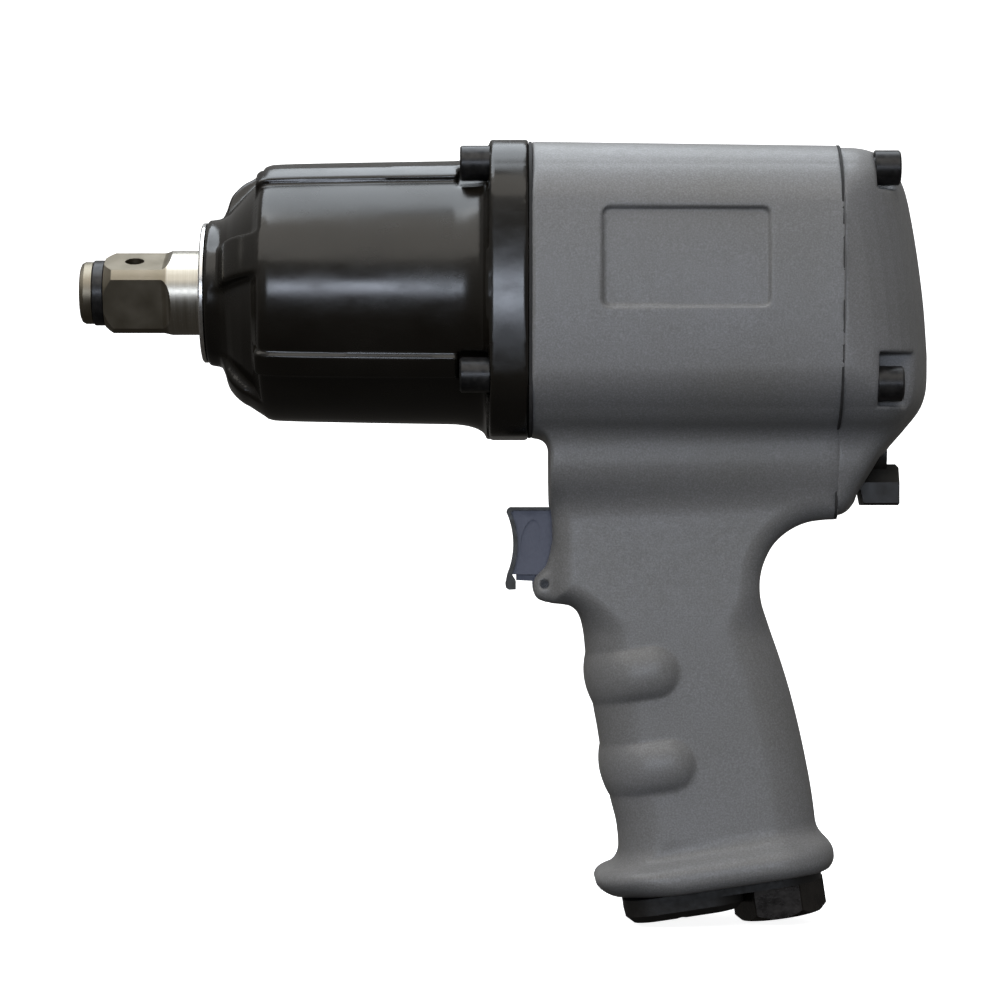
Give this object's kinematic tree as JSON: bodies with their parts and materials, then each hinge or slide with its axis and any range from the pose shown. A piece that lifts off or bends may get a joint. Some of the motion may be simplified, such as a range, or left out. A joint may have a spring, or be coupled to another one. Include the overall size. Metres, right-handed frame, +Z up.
{
  "type": "pneumatic impact wrench",
  "caption": "Pistol-grip air impact wrench with a square drive, black hammer case, grey housing, finger trigger, reverse lever and a hexagonal air inlet under the grip.",
  "frame": {"origin": "centre of the anvil's free end on the drive axis", "axes": "+X along the drive axis from the anvil's end to the rear cap, +Z up, grip down, Y = 0 is the plane the grip lies in"},
  "size_m": [0.2398, 0.084, 0.2209],
  "materials": {
    "grey_paint": "fine pebbled grey paint on cast aluminium",
    "black_case": "smooth black enamel on cast aluminium",
    "bright_steel": "ground and polished steel",
    "bolt_black": "black oxide",
    "gasket_black": "matte",
    "inner_steel": "machined",
    "bronze": "machined",
    "vane_composite": "fabric laminate",
    "o_ring": "matte",
    "trigger_cast": "bead blasted zinc alloy look",
    "trigger_black": "black painted sheet steel",
    "lever_black": "black oxide",
    "inlet_black": "black oxide, worn",
    "exhaust_black": "matte",
    "felt": "pressed felt",
    "screen_steel": "woven"
  },
  "bodies": {
    "housing": {"hammer_case": "black_case", "anvil_bushing": "bright_steel", "thrust_washer": "bronze", "front_gasket": "gasket_black", "front_bolts": "bolt_black", "front_lock_washers": "bolt_black", "rear_bolts": "bolt_black", "rear_lock_washers": "bolt_black", "front_end_plate": "inner_steel", "rear_end_plate": "inner_steel", "cylinder_liner": "inner_steel", "liner_dowel": "inner_steel", "front_outer_race": "inner_steel", "rear_outer_race": "inner_steel", "motor_housing": "grey_paint", "rear_gasket": "gasket_black", "rear_cap": "grey_paint", "reverse_bushing": "bronze", "trigger_pin": "inner_steel", "throttle_bushing": "bronze", "throttle_spring": "inner_steel", "inlet_bushing": "inlet_black", "inlet_screen": "screen_steel", "exhaust_plate": "exhaust_black", "exhaust_screws": "bolt_black", "exhaust_muffler": "felt"},
    "rotor": {"rotor": "inner_steel", "vanes": "vane_composite", "front_inner_race": "inner_steel", "rear_inner_race": "inner_steel", "hammer_cage": "inner_steel", "hammer_pins": "inner_steel"},
    "anvil": {"anvil": "bright_steel", "friction_ring": "bolt_black", "retainer_oring": "o_ring"},
    "front_ball_set": {"front_balls": "inner_steel"},
    "rear_ball_set": {"rear_balls": "inner_steel"},
    "front_hammer": {"front_hammer": "inner_steel"},
    "rear_hammer": {"rear_hammer": "inner_steel"},
    "trigger": {"trigger_plate": "trigger_black", "trigger_body": "trigger_cast"},
    "throttle": {"throttle_pin": "inner_steel", "throttle_valve": "bronze"},
    "reverse_valve": {"reverse_spool": "inner_steel", "reverse_lever": "lever_black"}
  },
  "joints": [
    {"name": "rotor_spin", "type": "hinge", "parent": "housing", "child": "rotor", "pos_m": [0.17, 0, 0], "axis": [1, 0, 0], "continuous": true},
    {"name": "anvil_spin", "type": "hinge", "parent": "housing", "child": "anvil", "pos_m": [0.05, 0, 0], "axis": [1, 0, 0], "continuous": true},
    {"name": "front_balls_spin", "type": "hinge", "parent": "housing", "child": "front_ball_set", "pos_m": [0.1347, 0, 0], "axis": [1, 0, 0], "continuous": true},
    {"name": "rear_balls_spin", "type": "hinge", "parent": "housing", "child": "rear_ball_set", "pos_m": [0.2071, 0, 0], "axis": [1, 0, 0], "continuous": true},
    {"name": "front_hammer_swing", "type": "hinge", "parent": "rotor", "child": "front_hammer", "pos_m": [0.07525, 0.022, 0], "axis": [1, 0, 0], "range_deg": [-7, 7]},
    {"name": "rear_hammer_swing", "type": "hinge", "parent": "rotor", "child": "rear_hammer", "pos_m": [0.09225, -0.022, 0], "axis": [1, 0, 0], "range_deg": [-7, 7]},
    {"name": "trigger_pull", "type": "hinge", "parent": "housing", "child": "trigger", "pos_m": [0.1319, 0, -0.0828], "axis": [0, 1, 0], "range_deg": [0, 8], "stiffness_Nm_per_rad": 0.8, "springref_deg": -14.32},
    {"name": "throttle_slide", "type": "slide", "parent": "housing", "child": "throttle", "axis": [1, 0, 0], "range_m": [0, 0.0018], "deforming": ["throttle_spring"]},
    {"name": "reverse_turn", "type": "hinge", "parent": "housing", "child": "reverse_valve", "pos_m": [0.2, 0, -0.0455], "axis": [1, 0, 0], "range_deg": [-25, 25]}
  ],
  "couplings": [
    {"joint": "anvil_spin", "follows": "rotor_spin", "ratio": 1},
    {"joint": "front_balls_spin", "follows": "rotor_spin", "ratio": 0.3987},
    {"joint": "rear_balls_spin", "follows": "rotor_spin", "ratio": 0.3987},
    {"joint": "throttle_slide", "follows": "trigger_pull", "m_per_rad": 0.0128}
  ]
}
